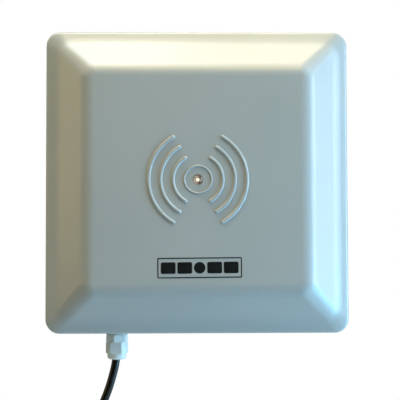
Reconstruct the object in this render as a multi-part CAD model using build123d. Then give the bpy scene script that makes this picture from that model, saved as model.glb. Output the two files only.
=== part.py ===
from build123d import *
import math
import os

# Long-range radio-tag reader panel on a pan-and-tilt wall mount, with its lead.
# Millimetres, +Z up, +X to the right seen from the front, and the panel faces -Y.
# The origin is the centre of the wall base's rear face, so the wall is the plane y = 0.

os.makedirs("parts", exist_ok=True)

# Cover: a moulded ABS radome with a drafted side, a ledge, a bevel and a flat plateau.
PANEL_WIDTH = 235.0
PANEL_HEIGHT = 235.0
SIDE_HEIGHT = 30.0
LEDGE_RISE = 4.0
BEVEL_RISE = 21.0
COVER_WALL = 3.0
DRAFT_ANGLE = 1.2
RIM_CORNER_R = 11.0
LEDGE_EDGE_R = 3.0
BEVEL_FOOT_INSET = 10.2
BEVEL_TOP_INSET = 32.4
FOOT_CORNER_R = 8.5
TOP_CORNER_R = 11.5
FOOT_FILLET_R = 24.0
TOP_FILLET_R = 16.0

# Raised marks on the plateau: three arcs on each side of a ring.
ARC_RADII = (18.8, 28.05, 37.1)
ARC_HALF_SPAN = 60.0
ARC_RIDGE_WIDTH = 2.9
ARC_RIDGE_HEIGHT = 1.1
RING_RADIUS = 10.3
RING_RIDGE_R = 0.8
RING_SINK = 0.1

# Printed badge: an ink frame around plain blocks.
BADGE_WIDTH = 63.4
BADGE_HEIGHT = 15.3
BADGE_LINE = 0.8
BADGE_INK = 0.12
BADGE_DROP = 66.3
BADGE_SHIFT = 1.2
BADGE_TILT = 0.5
BADGE_BLOCK_HEIGHT = 8.6
BADGE_BLOCK_WIDTHS = (11.0, 11.0, 8.6, 11.0, 11.0)
BADGE_BLOCK_GAP = 1.4
BADGE_BLOCK_R = 1.2

# Closing the case: back plate, gasket, seat and cover screws.
PLATE_THICKNESS = 2.0
GASKET_THICKNESS = 1.5
PLATE_GAP = 0.3
SEAT_WIDTH = 6.0
SEAT_THICKNESS = 2.5
BOSS_INSET = 12.0
BOSS_R = 4.5
BOSS_HEIGHT = 10.0
COVER_SCREW_R = 1.6
COVER_SCREW_HEAD_R = 3.2
COVER_SCREW_HEAD_HEIGHT = 2.2
COVER_SCREW_LENGTH = 11.0
SCREW_CLEARANCE = 0.4
THREAD_GAP = 0.05
LABEL_WIDTH = 60.0
LABEL_HEIGHT = 30.0
LABEL_THICKNESS = 0.2
LABEL_GAP = 9.5

# Main board and what stands on it.
BOARD_WIDTH = 130.0
BOARD_HEIGHT = 110.0
BOARD_THICKNESS = 1.6
BOARD_DROP = 10.0
STANDOFF_HEIGHT = 6.0
STANDOFF_R = 3.0
BOARD_HOLE_INSET = 7.0
SMALL_SCREW_R = 1.5
SMALL_SCREW_HEAD_R = 2.75
SMALL_SCREW_HEAD_HEIGHT = 1.9
SHIELD_SIZE = (52.0, 44.0, 6.0)
SHIELD_PLACE = (36.0, 4.0)
SHIELD_WALL = 0.3
RELAY_SIZE = (19.0, 15.0, 11.0)
INDUCTOR_SIZE = (12.0, 12.0, 7.0)
CAPACITOR_R = 4.0
CAPACITOR_HEIGHT = 11.5
BEEPER_R = 6.0
BEEPER_HEIGHT = 8.5
CHIP_HEIGHT = 1.4
PIN_PITCH = 2.54
SIGNAL_PINS = 6
SIGNAL_HEADER_DEPTH = 8.0
SIGNAL_HEADER_HEIGHT = 8.5
SIGNAL_PLUG_LENGTH = 12.0
SIGNAL_FROM_GLAND = 14.0
LED_HEADER_SIZE = (6.0, 5.0, 5.0)

# Antenna: reflector sheet, patch with two cut corners, feed and spacers.
REFLECTOR_MARGIN = 22.5
REFLECTOR_DEPTH = 26.0
REFLECTOR_THICKNESS = 1.5
REFLECTOR_HOLE_INSET = 10.0
REFLECTOR_POST_R = 4.0
PATCH_SIZE = 145.0
PATCH_CORNER_CUT = 22.0
PATCH_THICKNESS = 1.0
PATCH_GAP = 10.5
PATCH_SPACER_PITCH = 80.0
PATCH_SPACER_R = 3.5
PATCH_SCREW_R = 1.5
FEED_RISE = 30.0
COAX_R = 1.8
FEED_PIN_R = 0.64
FEED_PIN_PROUD = 0.4

# Indicator: an 8 mm clear LED on a small board on a post.
LED_R = 4.0
LED_HOLE_GAP = 0.1
LED_PROUD = 1.5
LED_BODY_HEIGHT = 9.5
LED_FLANGE_R = 4.6
LED_FLANGE_HEIGHT = 1.6
LED_LEAD_LENGTH = 2.4
LED_LEAD_SIDE = 0.5
LED_BOARD_R = 11.0
LED_BOARD_THICKNESS = 1.6
LED_POST_R = 5.0
LED_POST_BORE_R = 2.5
LED_WIRE_R = 0.6
HOLE_MARGIN = 1.0

# Cable gland, size PG7, on the lower side.
GLAND_FROM_EDGE = 54.9
GLAND_DEPTH = 16.0
GLAND_THREAD_R = 6.2
GLAND_HOLE_GAP = 0.2
GLAND_FLATS = 15.0
GLAND_PAD_R = 9.0
GLAND_PAD_PROUD = 0.2
GLAND_WASHER_THICKNESS = 1.0
GLAND_WASHER_R = 8.2
GLAND_HEX_LENGTH = 5.5
GLAND_BODY_TURN = 42.7
GLAND_NECK_LENGTH = 5.0
GLAND_NUT_LENGTH = 9.0
GLAND_NUT_TURN = 2.6
GLAND_DOME_LENGTH = 4.5
GLAND_DOME_R = 7.4
GLAND_MOUTH_R = 4.9
GLAND_MOUTH_GAP = 0.8
GLAND_BORE_GAP = 0.5
GLAND_BUSH_WALL = 1.9
LOCKNUT_THICKNESS = 5.0
HEX_CHAMFER = 0.7

# Lead: black jacket over six cores.
CABLE_DIAMETER = 6.2
CABLE_INSIDE_LENGTH = 13.5
CORE_R = 0.65
CORE_CIRCLE_R = 1.5
CORE_COUNT = 6
CORE_BARE_LENGTH = 20.0
CORE_SPREAD = 9.0
TIP_R = 0.3
TIP_LENGTH = 6.0

# Coil of the spare lead: two columns of turns that hang in a plane beside the wall.
COIL_OUTER_R = 46.4
COIL_GAP = 0.2
COIL_TURNS = 6
COIL_EDGE_R = 3.0
TIE_ANGLES = (60.0, 300.0)
TIE_WIDTH = 3.6
TIE_THICKNESS = 1.2
TIE_GAP = 0.1
TIE_HEAD = (5.6, 4.4, 6.0)

# Wall mount: base with two level ears, knuckle, and yoke with two upright ears.
WALL_BASE_SIZE = 90.0
WALL_BASE_THICKNESS = 6.0
WALL_BASE_CORNER_R = 10.0
WALL_HOLE_PITCH = 66.0
WALL_HOLE_R = 3.3
PAN_AXIS_Y = -24.0
TILT_AXIS_Y = -60.0
READER_BACK_Y = -84.0
EAR_GAP = 26.0
EAR_THICKNESS = 5.0
EAR_R = 13.0
EAR_ROOT_R = 2.5
KNUCKLE_SIDE_GAP = 0.3
KNUCKLE_EDGE_R = 1.5
PIVOT_BOLT_R = 4.0
PIVOT_RUNNING_GAP = 0.08
PIVOT_EAR_GAP = 0.2
PIVOT_FLATS = 13.0
PIVOT_HEAD_HEIGHT = 5.3
PIVOT_NUT_HEIGHT = 8.0
PIVOT_END = 2.0
PIVOT_WASHER_R = 8.0
PIVOT_WASHER_THICKNESS = 1.6
YOKE_SIZE = 72.0
YOKE_THICKNESS = 5.0
YOKE_CORNER_R = 8.0
YOKE_HOLE_PITCH = 54.0
YOKE_SCREW_R = 2.5
YOKE_SCREW_HEAD_R = 4.5
YOKE_SCREW_HEAD_HEIGHT = 3.2
YOKE_SCREW_END = 1.0
SPRING_WASHER_THICKNESS = 1.2
SPRING_WASHER_R = 4.4
CLINCH_NUT_R = 5.0
CLINCH_NUT_HEIGHT = 3.5
CAST_EDGE_R = 0.8

# Worked out from the sizes above. A depth is measured from the reader's back, towards its front.
PLATEAU = SIDE_HEIGHT + LEDGE_RISE + BEVEL_RISE
LEAN = math.tan(math.radians(DRAFT_ANGLE))
SEAT = PLATE_THICKNESS + GASKET_THICKNESS
BOARD_BACK = PLATE_THICKNESS + STANDOFF_HEIGHT
BOARD_FACE = BOARD_BACK + BOARD_THICKNESS
REFLECTOR_FACE = REFLECTOR_DEPTH + REFLECTOR_THICKNESS
PATCH_BACK = REFLECTOR_FACE + PATCH_GAP
PATCH_FACE = PATCH_BACK + PATCH_THICKNESS
LED_BASE = PLATEAU + LED_PROUD - LED_BODY_HEIGHT
LED_BOARD_FACE = LED_BASE - LED_LEAD_LENGTH
LED_BOARD_BACK = LED_BOARD_FACE - LED_BOARD_THICKNESS
CABLE_R = CABLE_DIAMETER / 2
COIL_PITCH = CABLE_DIAMETER + COIL_GAP
GLAND_X = GLAND_FROM_EDGE - PANEL_WIDTH / 2
GLAND_NUT_START = GLAND_WASHER_THICKNESS + GLAND_HEX_LENGTH
GLAND_DOME_START = GLAND_NUT_START + GLAND_NUT_LENGTH
GLAND_MOUTH = GLAND_DOME_START + GLAND_DOME_LENGTH
GLAND_PAD_INNER = COVER_WALL + GLAND_DEPTH * LEAN + GLAND_PAD_PROUD
LOCKNUT_END = GLAND_PAD_INNER + LOCKNUT_THICKNESS
INLET_END = 10.5

# Frames: the reader's (x right, y up, z towards the front) and the gland's (z down, out of it).
READER = Plane(origin=(0, READER_BACK_Y, 0), x_dir=(1, 0, 0), z_dir=(0, -1, 0)).location
GLAND = Plane(
    origin=(GLAND_X, -PANEL_HEIGHT / 2, GLAND_DEPTH), x_dir=(1, 0, 0), z_dir=(0, -1, 0)
).location

# The lead's route, in the row's frame: down out of the gland and across to the coil's left side.
LEAD_ROUTE = [
    (-62.6, -100.0, -128.0),
    (-62.6, -100.0, -134.5),
    (-64.9, -100.0, -147.3),
    (-70.9, -100.0, -166.6),
    (-80.6, -100.0, -186.0),
    (-87.4, -100.0, -208.6),
    (-89.0, -100.0, -230.0),
]
# The free end hangs down beside the coil, one column nearer the wall.
TAIL_ROUTE = [
    (-89.0, -93.6, -230.0),
    (-89.3, -93.6, -248.0),
    (-87.0, -94.0, -266.0),
]

STAND = (Align.CENTER, Align.CENTER, Align.MIN)


def save(node, *pieces):
    """Writes one node; several pieces stay separate solids."""
    shape = pieces[0] if len(pieces) == 1 else Compound(children=list(pieces))
    export_step(shape, f"parts/{node}.step")


def post(x, y, radius, low, high):
    """A round post between two depths."""
    return Pos(x, y, low) * Cylinder(radius, high - low, align=STAND)


def slab(width, height, radius, low, high):
    """A rounded sheet on the reader's axis between two depths."""
    return Pos(0, 0, low) * extrude(RectangleRounded(width, height, radius), high - low)


def tube(outer, inner, low, high):
    """A round sleeve on the local axis."""
    return post(0, 0, outer, low, high) - post(0, 0, inner, low, high)


def hexagon(flats, height, turn=0.0):
    """A hexagonal prism with its corners chamfered at both ends."""
    corner_r = flats / 2 / math.cos(math.pi / 6)
    prism = extrude(RegularPolygon(corner_r, 6, rotation=turn), height)
    crown = Cylinder(corner_r, height, align=STAND)
    crown = chamfer(crown.edges().filter_by(GeomType.CIRCLE), HEX_CHAMFER)
    return prism & crown


def pan_screw(shank_r, head_r, head_height, length):
    """A cross-recessed screw: its shank runs up from z = 0 and its head lies below."""
    head = Pos(0, 0, -head_height) * Cylinder(head_r, head_height, align=STAND)
    low_rim = head.edges().filter_by(GeomType.CIRCLE).sort_by(Axis.Z)[0]
    head = fillet(low_rim, head_height * 0.45)
    slot = Box(head_r * 1.1, head_r * 0.28, head_height, align=STAND)
    cross = Pos(0, 0, -1.45 * head_height) * (slot + Rot(0, 0, 90) * slot)
    return head + Cylinder(shank_r, length, align=STAND) - cross


def four(pitch_x, pitch_y):
    """The four corners of a rectangle about the local axis."""
    return [(x * pitch_x / 2, y * pitch_y / 2) for x in (-1, 1) for y in (-1, 1)]


def boss_places():
    """Cover screws: four corners and the middle of each side."""
    half_x = PANEL_WIDTH / 2 - BOSS_INSET
    half_y = PANEL_HEIGHT / 2 - BOSS_INSET
    middles = [(half_x, 0), (-half_x, 0), (0, half_y), (0, -half_y)]
    return four(2 * half_x, 2 * half_y) + middles


def cover_corners(wall):
    """The cover's profile as (inset, depth, corner radius), each corner moved in by the wall."""
    rim_inset = SIDE_HEIGHT * LEAN
    ledge_run = BEVEL_FOOT_INSET - rim_inset
    slopes = [
        math.atan2(SIDE_HEIGHT, rim_inset),
        math.atan2(LEDGE_RISE, ledge_run),
        math.atan2(BEVEL_RISE, BEVEL_TOP_INSET - BEVEL_FOOT_INSET),
        0.0,
    ]
    corners = [
        (rim_inset, SIDE_HEIGHT, RIM_CORNER_R),
        (BEVEL_FOOT_INSET, SIDE_HEIGHT + LEDGE_RISE, FOOT_CORNER_R),
        (BEVEL_TOP_INSET, PLATEAU, TOP_CORNER_R),
    ]
    moved = [(wall, 0, RIM_CORNER_R - wall)]
    for (inset, depth, radius), before, after in zip(corners, slopes, slopes[1:]):
        spread = wall / (1 + math.cos(before - after))
        inwards = spread * (math.sin(before) + math.sin(after))
        down = spread * (math.cos(before) + math.cos(after))
        moved.append((inset + inwards, depth - down, radius - inwards))
    return moved


def cover_form(wall):
    """The cover's outer shape, or, with a wall, the cavity that leaves that wall."""
    corners = cover_corners(wall)
    form = loft(
        [
            Pos(0, 0, depth)
            * RectangleRounded(PANEL_WIDTH - 2 * inset, PANEL_HEIGHT - 2 * inset, radius)
            for inset, depth, radius in corners
        ],
        ruled=True,
    )
    rounds = (LEDGE_EDGE_R - wall, FOOT_FILLET_R + wall, TOP_FILLET_R - wall)
    for (_, depth, _), radius in zip(corners[1:], rounds):
        if radius > 0:
            level = form.edges().filter_by_position(Axis.Z, depth - 0.01, depth + 0.01)
            form = fillet(level, radius)
    return form


def arc_ridge(radius, middle_angle):
    """One raised arc with round ends: the top of a bent rod sunk into the plateau."""
    half = ARC_RIDGE_WIDTH / 2
    rod_r = (half**2 + ARC_RIDGE_HEIGHT**2) / (2 * ARC_RIDGE_HEIGHT)
    path = CenterArc((0, 0, 0), radius, middle_angle - ARC_HALF_SPAN, 2 * ARC_HALF_SPAN)
    section = Plane(origin=path @ 0, z_dir=path % 0) * Circle(rod_r)
    ridge = sweep(section, path)
    for end in (0, 1):
        ridge += Pos(path @ end) * Sphere(rod_r)
    return Pos(0, 0, PLATEAU + ARC_RIDGE_HEIGHT - rod_r) * ridge


def radome():
    """The one-piece cover, with its seat, screw bosses, gland pad and raised marks."""
    cover = cover_form(0) - cover_form(COVER_WALL)
    inner_x = PANEL_WIDTH - 2 * (COVER_WALL + SEAT_WIDTH)
    inner_y = PANEL_HEIGHT - 2 * (COVER_WALL + SEAT_WIDTH)
    seat_r = RIM_CORNER_R - COVER_WALL
    outer_x = PANEL_WIDTH - COVER_WALL
    outer_y = PANEL_HEIGHT - COVER_WALL
    seat = slab(outer_x, outer_y, seat_r, SEAT, SEAT + SEAT_THICKNESS)
    seat -= slab(inner_x, inner_y, seat_r / 2, SEAT, SEAT + SEAT_THICKNESS)
    cover += seat
    for x, y in boss_places():
        cover += post(x, y, BOSS_R, SEAT, SEAT + BOSS_HEIGHT)
    cover += GLAND * post(0, 0, GLAND_PAD_R, -GLAND_PAD_INNER, 0)
    for radius in ARC_RADII:
        for middle_angle in (0, 180):
            cover += arc_ridge(radius, middle_angle)
    cover += Pos(0, 0, PLATEAU - RING_SINK) * Torus(RING_RADIUS, RING_RIDGE_R)
    cover -= post(0, 0, LED_R + LED_HOLE_GAP, PLATEAU - 2 * COVER_WALL, PLATEAU + 1)
    pilot = COVER_SCREW_R + THREAD_GAP
    for x, y in boss_places():
        cover -= post(x, y, pilot, SEAT, SEAT + BOSS_HEIGHT - 1)
    thread = GLAND_THREAD_R + GLAND_HOLE_GAP
    cover -= GLAND * post(0, 0, thread, -GLAND_PAD_INNER - 1, 1)
    return cover


def front_badge():
    """The ink frame and five plain blocks on the plateau."""
    ink = extrude(
        RectangleRounded(BADGE_WIDTH, BADGE_HEIGHT, BADGE_LINE)
        - Rectangle(BADGE_WIDTH - 2 * BADGE_LINE, BADGE_HEIGHT - 2 * BADGE_LINE),
        BADGE_INK,
    )
    pieces = [ink]
    gaps = BADGE_BLOCK_GAP * (len(BADGE_BLOCK_WIDTHS) - 1)
    left = -(sum(BADGE_BLOCK_WIDTHS) + gaps) / 2
    for width in BADGE_BLOCK_WIDTHS:
        if width == BADGE_BLOCK_HEIGHT:
            block = Circle(width / 2)
        else:
            block = RectangleRounded(width, BADGE_BLOCK_HEIGHT, BADGE_BLOCK_R)
        pieces.append(Pos(left + width / 2, 0, 0) * extrude(block, BADGE_INK))
        left += width + BADGE_BLOCK_GAP
    spot = Pos(BADGE_SHIFT, -BADGE_DROP, PLATEAU) * Rot(0, 0, BADGE_TILT)
    return [spot * piece for piece in pieces]


def back_plate():
    """The aluminium plate that closes the case and carries the yoke."""
    half_gap = COVER_WALL + PLATE_GAP
    plate = slab(
        PANEL_WIDTH - 2 * half_gap,
        PANEL_HEIGHT - 2 * half_gap,
        RIM_CORNER_R - half_gap,
        0,
        PLATE_THICKNESS,
    )
    for x, y in boss_places():
        plate -= post(x, y, COVER_SCREW_R + SCREW_CLEARANCE, -1, PLATE_THICKNESS + 1)
    for x, y in four(YOKE_HOLE_PITCH, YOKE_HOLE_PITCH):
        plate -= post(x, y, YOKE_SCREW_R + SCREW_CLEARANCE, -1, PLATE_THICKNESS + 1)
    return plate


def cover_gasket():
    """The rubber frame between the plate and the seat, with an eye round each screw."""
    half_gap = COVER_WALL + PLATE_GAP
    inner = COVER_WALL + SEAT_WIDTH
    corner_r = RIM_CORNER_R - half_gap
    ring = slab(
        PANEL_WIDTH - 2 * half_gap, PANEL_HEIGHT - 2 * half_gap, corner_r, PLATE_THICKNESS, SEAT
    )
    ring -= slab(
        PANEL_WIDTH - 2 * inner, PANEL_HEIGHT - 2 * inner, corner_r / 2, PLATE_THICKNESS, SEAT
    )
    for x, y in boss_places():
        ring += post(x, y, BOSS_R, PLATE_THICKNESS, SEAT)
    for x, y in boss_places():
        ring -= post(x, y, COVER_SCREW_R + SCREW_CLEARANCE, PLATE_THICKNESS, SEAT)
    return ring


def cover_screws():
    """Eight screws from behind, through plate and gasket into the cover's bosses."""
    screw = pan_screw(
        COVER_SCREW_R, COVER_SCREW_HEAD_R, COVER_SCREW_HEAD_HEIGHT, COVER_SCREW_LENGTH
    )
    return [Pos(x, y, 0) * screw for x, y in boss_places()]


def rear_label():
    """A blank foil label on the back plate."""
    label = slab(LABEL_WIDTH, LABEL_HEIGHT, 2.0, -LABEL_THICKNESS, 0)
    bottom = BOSS_INSET + COVER_SCREW_HEAD_R + LABEL_GAP - PANEL_HEIGHT / 2
    return Pos(0, bottom + LABEL_HEIGHT / 2, 0) * label


def board_places():
    """The main board's four fixing holes."""
    pitch_x = BOARD_WIDTH - 2 * BOARD_HOLE_INSET
    pitch_y = BOARD_HEIGHT - 2 * BOARD_HOLE_INSET
    return [(x, y - BOARD_DROP) for x, y in four(pitch_x, pitch_y)]


def main_board():
    """The circuit board, with fixing holes."""
    board = Pos(0, -BOARD_DROP, 0) * slab(BOARD_WIDTH, BOARD_HEIGHT, 2.0, BOARD_BACK, BOARD_FACE)
    for x, y in board_places():
        board -= post(x, y, SMALL_SCREW_R + SCREW_CLEARANCE / 2, BOARD_BACK - 1, BOARD_FACE + 1)
    return board


def board_standoffs():
    """Four threaded spacers between the back plate and the board."""
    bore = SMALL_SCREW_R + THREAD_GAP
    spacer = hexagon(2 * STANDOFF_R, STANDOFF_HEIGHT)
    spacer -= post(0, 0, bore, 0, STANDOFF_HEIGHT)
    return [Pos(x, y, PLATE_THICKNESS) * spacer for x, y in board_places()]


def small_screw(length):
    """A board screw whose head lies above z = 0."""
    head_r = SMALL_SCREW_HEAD_R
    return Rot(180, 0, 0) * pan_screw(SMALL_SCREW_R, head_r, SMALL_SCREW_HEAD_HEIGHT, length)


def board_screws():
    """Four screws that hold the board to its spacers."""
    screw = small_screw(STANDOFF_HEIGHT)
    return [Pos(x, y, BOARD_FACE) * screw for x, y in board_places()]


def on_board(x, y, size):
    """A block that stands on the board at a place counted from the board's middle."""
    return Pos(x, y - BOARD_DROP, BOARD_FACE) * Box(*size, align=STAND)


def shield_can():
    """The folded tin lid over the radio stage."""
    length, width, height = SHIELD_SIZE
    inner = (length - 2 * SHIELD_WALL, width - 2 * SHIELD_WALL, height - SHIELD_WALL)
    can = on_board(*SHIELD_PLACE, SHIELD_SIZE)
    can = fillet(can.edges().filter_by(Axis.Z), 1.0)
    return can - on_board(*SHIELD_PLACE, inner)


def controller_chips():
    """Three flat packages beside the shield and the radio chip under it."""
    places = ((-36, 8, 14), (-36, -14, 10), (-14, -34, 7), (*SHIELD_PLACE, 9))
    return [on_board(x, y, (side, side, CHIP_HEIGHT)) for x, y, side in places]


def capacitors():
    """Three electrolytic capacitors with rolled rims."""
    can = Cylinder(CAPACITOR_R, CAPACITOR_HEIGHT, align=STAND)
    can = fillet(can.edges().filter_by(GeomType.CIRCLE).sort_by(Axis.Z)[-1], 0.8)
    places = ((-26, 40), (-15, 40), (-20, 30))
    return [Pos(x, y - BOARD_DROP, BOARD_FACE) * can for x, y in places]


def power_inductor():
    """The switching supply's choke."""
    choke = on_board(22, 42, INDUCTOR_SIZE)
    return fillet(choke.edges().filter_by(Axis.Z), 2.5)


def beeper():
    """The round buzzer with its sound hole."""
    body = post(36, -36 - BOARD_DROP, BEEPER_R, BOARD_FACE, BOARD_FACE + BEEPER_HEIGHT)
    top = BOARD_FACE + BEEPER_HEIGHT
    return body - post(36, -36 - BOARD_DROP, 1.0, top - 2, top + 1)


def signal_x():
    """The middle of the lead's connector, across the panel."""
    half = SIGNAL_PINS * PIN_PITCH / 2 + BOARD_HOLE_INSET + 2 * STANDOFF_R
    return max(GLAND_X + SIGNAL_FROM_GLAND, half - BOARD_WIDTH / 2)


def signal_block(low_y, high_y, trim):
    """A connector block at the board's lower edge."""
    width = SIGNAL_PINS * PIN_PITCH + 3 - 2 * trim
    height = SIGNAL_HEADER_HEIGHT - 2 * trim
    block = Box(width, high_y - low_y, height, align=(Align.CENTER, Align.MIN, Align.MIN))
    edge = -BOARD_DROP - BOARD_HEIGHT / 2
    return Pos(signal_x(), edge + low_y, BOARD_FACE + trim) * block


def signal_header():
    """The board's half of the lead's connector, a shell open downwards."""
    shell = signal_block(0, SIGNAL_HEADER_DEPTH, 0)
    return shell - signal_block(-1, SIGNAL_HEADER_DEPTH - 2, 0.8)


def signal_plug():
    """The lead's half of the connector, pushed up into the header."""
    return signal_block(SIGNAL_HEADER_DEPTH - 2 - SIGNAL_PLUG_LENGTH, SIGNAL_HEADER_DEPTH - 2.2, 0.9)


def core_angle(index):
    """Where a core lies round the lead's middle."""
    return math.radians(360 * index / CORE_COUNT)


def inner_wires():
    """Six cores from the lead's cut end up to the plug."""
    start_y = -PANEL_HEIGHT / 2 + CABLE_INSIDE_LENGTH
    plug_y = -BOARD_DROP - BOARD_HEIGHT / 2 + SIGNAL_HEADER_DEPTH - 2 - SIGNAL_PLUG_LENGTH
    straight = (plug_y - start_y) * 0.25
    plug_depth = BOARD_FACE + SIGNAL_HEADER_HEIGHT / 2
    order = sorted(range(CORE_COUNT), key=lambda index: math.cos(core_angle(index)))
    wires = []
    for place, index in enumerate(order):
        x = GLAND_X + CORE_CIRCLE_R * math.cos(core_angle(index))
        depth = GLAND_DEPTH + CORE_CIRCLE_R * math.sin(core_angle(index))
        end_x = signal_x() + (place - (CORE_COUNT - 1) / 2) * PIN_PITCH
        points = [
            (x, start_y, depth),
            (x, start_y + straight, depth),
            (end_x, plug_y - straight, plug_depth),
            (end_x, plug_y, plug_depth),
        ]
        path = FilletPolyline(*points, radius=1.5)
        section = Plane(origin=path @ 0, z_dir=path % 0) * Circle(CORE_R)
        wires.append(sweep(section, path))
    return wires


def led_header():
    """The two-pin header under the indicator's wires."""
    return Pos(0, 0, BOARD_FACE) * Box(*LED_HEADER_SIZE, align=STAND)


def led_wires():
    """Two wires, straight up inside the post, from the header to the indicator's board."""
    top = BOARD_FACE + LED_HEADER_SIZE[2]
    return [post(x, 0, LED_WIRE_R, top, LED_BOARD_BACK) for x in (-1.2, 1.2)]


def reflector_places():
    """The reflector's four fixing holes."""
    pitch_x = PANEL_WIDTH - 2 * (REFLECTOR_MARGIN + REFLECTOR_HOLE_INSET)
    pitch_y = PANEL_HEIGHT - 2 * (REFLECTOR_MARGIN + REFLECTOR_HOLE_INSET)
    return four(pitch_x, pitch_y)


def reflector():
    """The aluminium sheet behind the antenna."""
    width = PANEL_WIDTH - 2 * REFLECTOR_MARGIN
    height = PANEL_HEIGHT - 2 * REFLECTOR_MARGIN
    sheet = slab(width, height, 4.0, REFLECTOR_DEPTH, REFLECTOR_FACE)
    holes = [(x, y, SMALL_SCREW_R + SCREW_CLEARANCE / 2) for x, y in reflector_places()]
    holes.append((0, 0, LED_POST_BORE_R))
    holes.append((0, FEED_RISE, FEED_PIN_R + HOLE_MARGIN))
    for x, y, radius in holes:
        sheet -= post(x, y, radius, REFLECTOR_DEPTH - 1, REFLECTOR_FACE + 1)
    return sheet


def reflector_posts():
    """Four posts from the back plate to the reflector."""
    height = REFLECTOR_DEPTH - PLATE_THICKNESS
    column = hexagon(2 * REFLECTOR_POST_R, height)
    column -= post(0, 0, SMALL_SCREW_R + THREAD_GAP, 0, height)
    return [Pos(x, y, PLATE_THICKNESS) * column for x, y in reflector_places()]


def reflector_screws():
    """Four screws through the reflector into its posts."""
    return [Pos(x, y, REFLECTOR_FACE) * small_screw(8.0) for x, y in reflector_places()]


def patch():
    """The radiating sheet: a square with two opposite corners cut for circular polarisation."""
    sheet = slab(PATCH_SIZE, PATCH_SIZE, 0.5, PATCH_BACK, PATCH_FACE)
    half = PATCH_SIZE / 2
    cut = Rot(0, 0, 45) * Box(PATCH_CORNER_CUT * math.sqrt(2), PATCH_CORNER_CUT * math.sqrt(2), 9)
    for side in (-1, 1):
        sheet -= Pos(side * half, side * half, PATCH_BACK) * cut
    holes = [(x, y, PATCH_SCREW_R + THREAD_GAP) for x, y in four(PATCH_SPACER_PITCH, PATCH_SPACER_PITCH)]
    holes.append((0, 0, LED_POST_R + HOLE_MARGIN))
    holes.append((0, FEED_RISE, FEED_PIN_R + THREAD_GAP))
    for x, y, radius in holes:
        sheet -= post(x, y, radius, PATCH_BACK - 1, PATCH_FACE + 1)
    return sheet


def patch_spacers():
    """Four nylon spacers between the reflector and the patch."""
    bore = PATCH_SCREW_R + THREAD_GAP
    spacer = tube(PATCH_SPACER_R, bore, 0, PATCH_GAP)
    places = four(PATCH_SPACER_PITCH, PATCH_SPACER_PITCH)
    return [Pos(x, y, REFLECTOR_FACE) * spacer for x, y in places]


def patch_screws():
    """Four nylon screws that hold the patch to its spacers."""
    places = four(PATCH_SPACER_PITCH, PATCH_SPACER_PITCH)
    return [Pos(x, y, PATCH_FACE) * small_screw(PATCH_GAP) for x, y in places]


def led_post():
    """The hollow post that carries the indicator's board."""
    return tube(LED_POST_R, LED_POST_BORE_R, REFLECTOR_FACE, LED_BOARD_BACK)


def status_led():
    """The clear dome, from its flange to its tip."""
    body = Cylinder(LED_R, LED_BODY_HEIGHT - LED_R, align=STAND)
    body += Pos(0, 0, LED_BODY_HEIGHT - LED_R) * Sphere(LED_R)
    body += Cylinder(LED_FLANGE_R, LED_FLANGE_HEIGHT, align=STAND)
    below = Pos(0, 0, -LED_R) * Cylinder(LED_R + 1, LED_R, align=STAND)
    return Pos(0, 0, LED_BASE) * (body - below)


def led_leads():
    """The indicator's two legs."""
    leg = Box(LED_LEAD_SIDE, LED_LEAD_SIDE, LED_LEAD_LENGTH, align=STAND)
    return [Pos(x, 0, LED_BOARD_FACE) * leg for x in (-PIN_PITCH / 2, PIN_PITCH / 2)]


def gland_body():
    """The threaded shank, the hexagon and the neck that the nut screws onto."""
    bore = CABLE_R + GLAND_BORE_GAP
    bush_r = CABLE_R + GLAND_BUSH_WALL
    neck_end = GLAND_NUT_START + GLAND_NECK_LENGTH
    body = post(0, 0, GLAND_THREAD_R, -LOCKNUT_END - 1, neck_end)
    hexagonal = hexagon(GLAND_FLATS, GLAND_HEX_LENGTH, GLAND_BODY_TURN)
    body += Pos(0, 0, GLAND_WASHER_THICKNESS) * hexagonal
    body -= post(0, 0, bore, -LOCKNUT_END - 2, neck_end + 1)
    return body - post(0, 0, bush_r, GLAND_WASHER_THICKNESS + 1, neck_end + 1)


def gland_nut():
    """The domed nut that squeezes the bush onto the lead."""
    body = Pos(0, 0, GLAND_NUT_START) * hexagon(GLAND_FLATS, GLAND_NUT_LENGTH, GLAND_NUT_TURN)
    dome = Pos(0, 0, GLAND_DOME_START) * Cylinder(GLAND_DOME_R, GLAND_DOME_LENGTH, align=STAND)
    rim = dome.edges().filter_by(GeomType.CIRCLE).sort_by(Axis.Z)[-1]
    dome = fillet(rim, min(GLAND_DOME_R - GLAND_MOUTH_R, GLAND_DOME_LENGTH - 0.1))
    nut = body + dome
    thread = GLAND_THREAD_R + GLAND_HOLE_GAP
    nut -= post(0, 0, thread, GLAND_NUT_START - 1, GLAND_NUT_START + GLAND_NECK_LENGTH + 0.5)
    taper = GLAND_NUT_START + GLAND_NECK_LENGTH + 0.5
    mouth = CABLE_R + GLAND_MOUTH_GAP
    nut -= Pos(0, 0, taper) * Cone(thread, mouth, GLAND_DOME_START - taper, align=STAND)
    return nut - post(0, 0, mouth, GLAND_DOME_START - 1, GLAND_MOUTH + 1)


def gland_bush():
    """The rubber sleeve between the lead and the gland's body."""
    return tube(
        CABLE_R + GLAND_BUSH_WALL - THREAD_GAP, CABLE_R, GLAND_WASHER_THICKNESS + 1, INLET_END
    )


def gland_locknut():
    """The nut inside the case."""
    nut = hexagon(GLAND_FLATS, LOCKNUT_THICKNESS, GLAND_NUT_TURN)
    nut -= post(0, 0, GLAND_THREAD_R + THREAD_GAP, -1, LOCKNUT_THICKNESS + 1)
    return Pos(0, 0, -LOCKNUT_END) * nut


def cable_inlet():
    """The jacket from inside the case to where it bends in the gland's mouth."""
    jacket = post(0, 0, CABLE_R, -CABLE_INSIDE_LENGTH, INLET_END)
    return jacket


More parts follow.
